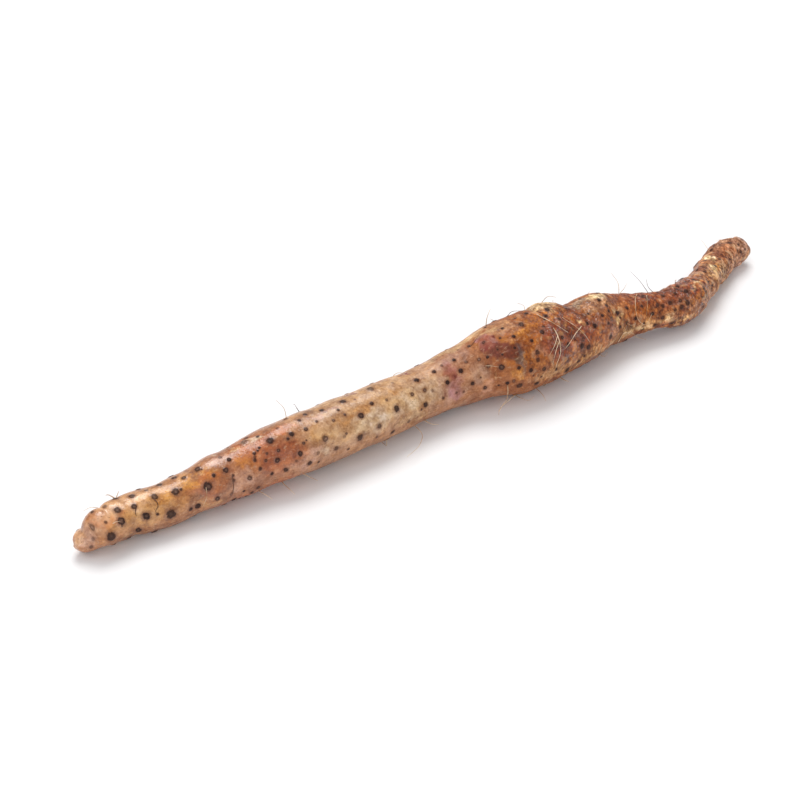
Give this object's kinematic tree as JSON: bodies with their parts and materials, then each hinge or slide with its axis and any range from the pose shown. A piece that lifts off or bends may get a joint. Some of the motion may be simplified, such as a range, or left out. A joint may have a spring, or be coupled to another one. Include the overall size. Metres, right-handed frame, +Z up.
{
  "type": "chinese yam",
  "caption": "Long slender chinese yam tuber lying down: blunt two-lobed growing tip, swollen belly, knob on top, hooked rough neck, skin dotted with raised root scars.",
  "frame": {"origin": "on the surface it lies on, under the middle of the tuber's box", "axes": "+X along the tuber from the growing tip to the stem end, +Z up"},
  "size_m": [0.5891, 0.0728, 0.053],
  "materials": {
    "skin": "waxy tan skin with dark raised root scars, damp and rust-brown on the belly, rougher towards the neck"
  },
  "bodies": {
    "root": {"yam_tuber": "skin"}
  },
  "joints": []
}
